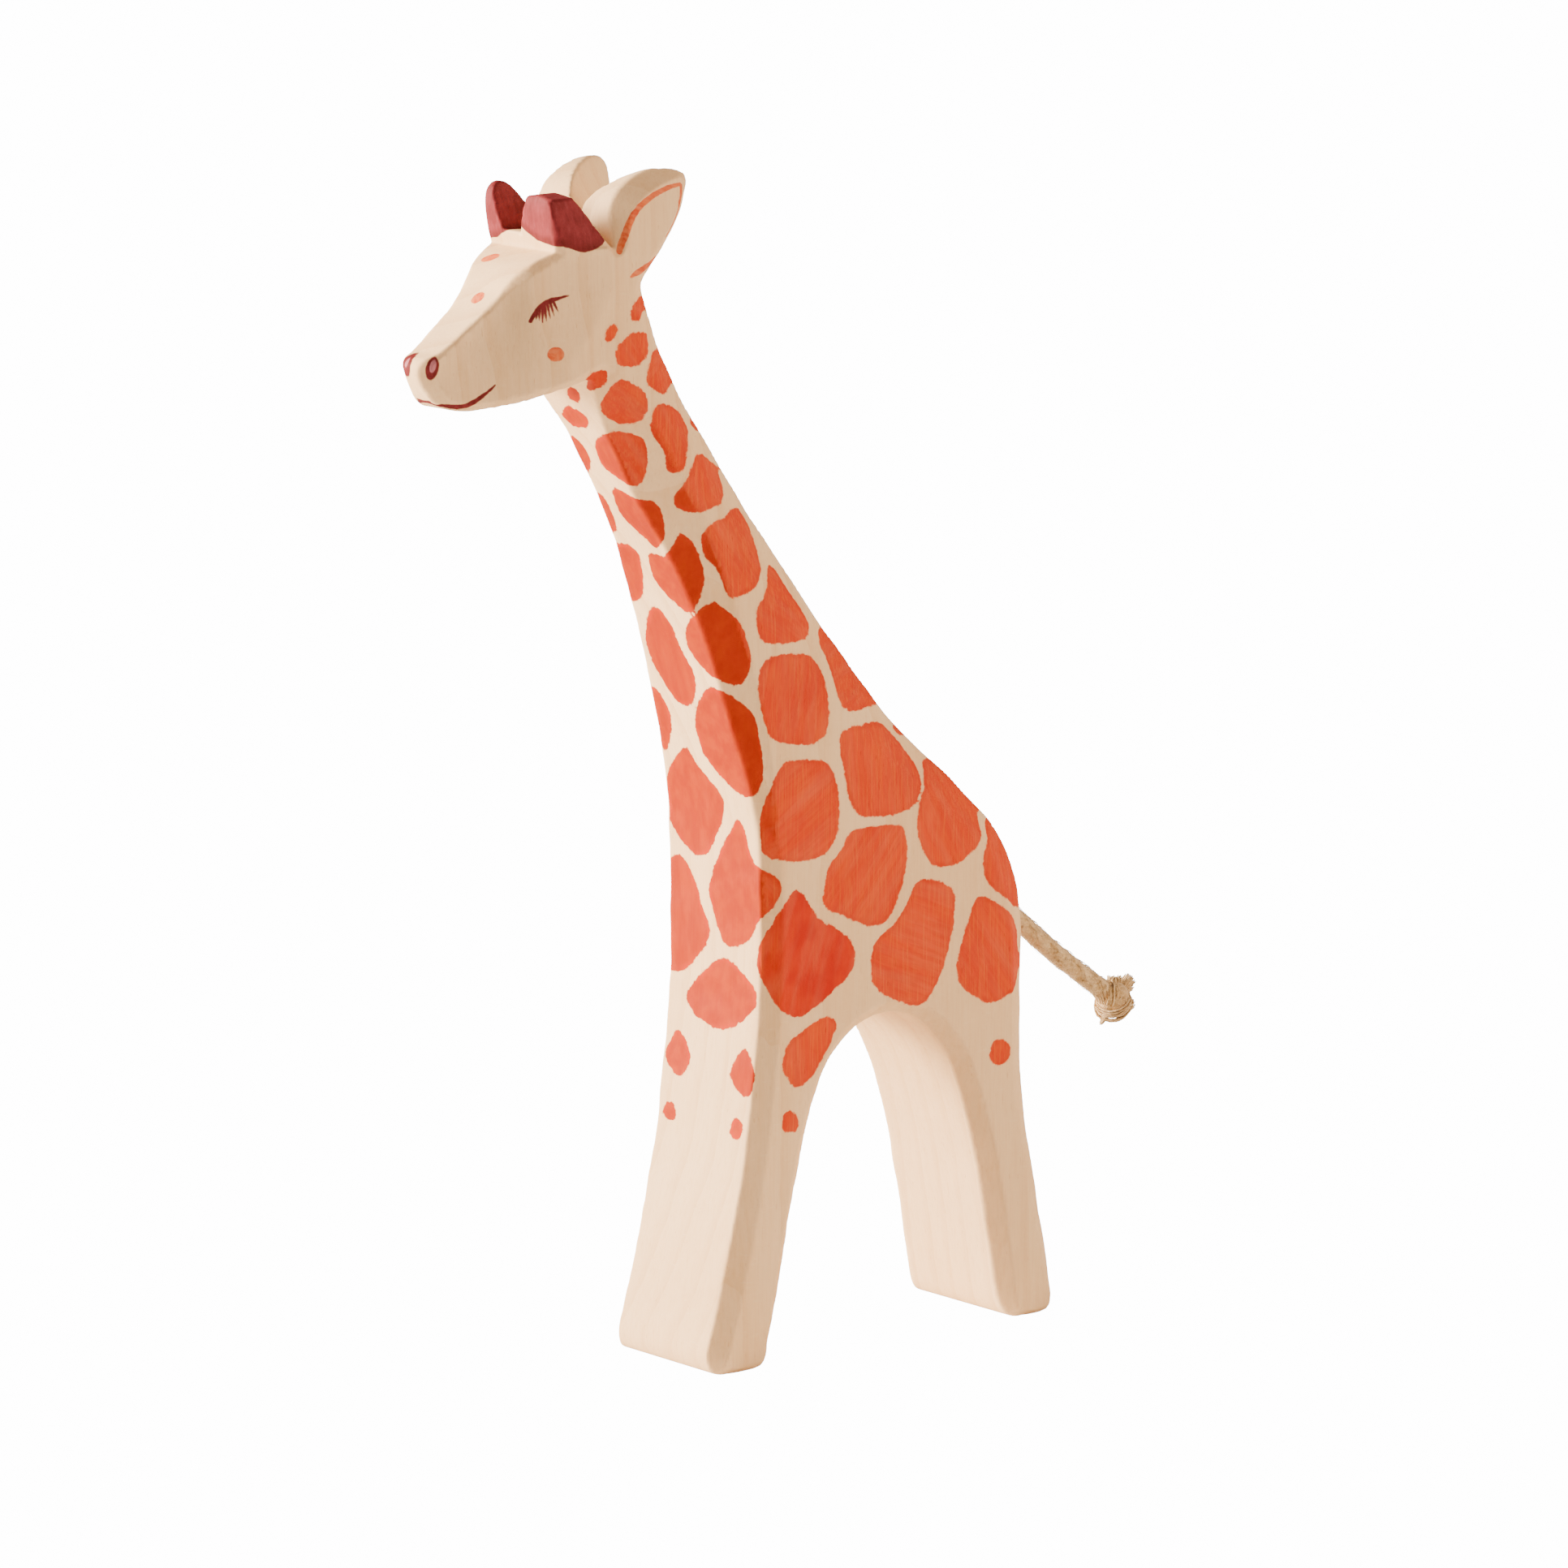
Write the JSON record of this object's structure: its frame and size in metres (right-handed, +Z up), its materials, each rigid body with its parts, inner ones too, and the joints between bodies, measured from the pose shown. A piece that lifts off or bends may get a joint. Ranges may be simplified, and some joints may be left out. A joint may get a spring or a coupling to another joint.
{
  "type": "carved wooden giraffe figure",
  "caption": "Free-standing giraffe sawn from a thick maple board, whittled and hand painted, with a stiff hemp cord tail that ends in a frayed knot.",
  "frame": {"origin": "middle of the wooden figure's box at floor level, between the soles", "axes": "+Z up, the giraffe looks along -Y with the cord tail towards +Y, +X is its left flank and the board's thickness direction"},
  "size_m": [0.03, 0.1662, 0.2142],
  "materials": {
    "painted_maple": "satin, hand sanded maple with thin orange and maroon glaze paint",
    "wood_glue": "dried translucent wood glue",
    "hemp_cord": "matt twisted hemp, slightly fuzzy"
  },
  "bodies": {
    "carving": {"giraffe_body": "painted_maple", "tail_glue": "wood_glue", "tail_cord_root": "hemp_cord"},
    "tail_mid": {"tail_cord_upper": "hemp_cord"},
    "tail_tip": {"tail_cord_lower": "hemp_cord", "tail_knot": "hemp_cord", "tail_tuft": "hemp_cord"}
  },
  "joints": [
    {"name": "tail_sway", "type": "hinge", "parent": "carving", "child": "tail_mid", "pos_m": [0, 0.06066, 0.07592], "axis": [0, 0, 1], "range_deg": [-30, 30], "stiffness_Nm_per_rad": 0.01},
    {"name": "tail_lift", "type": "hinge", "parent": "tail_mid", "child": "tail_tip", "pos_m": [0, 0.06591, 0.07191], "axis": [1, 0, 0], "range_deg": [-30, 40], "stiffness_Nm_per_rad": 0.01}
  ]
}
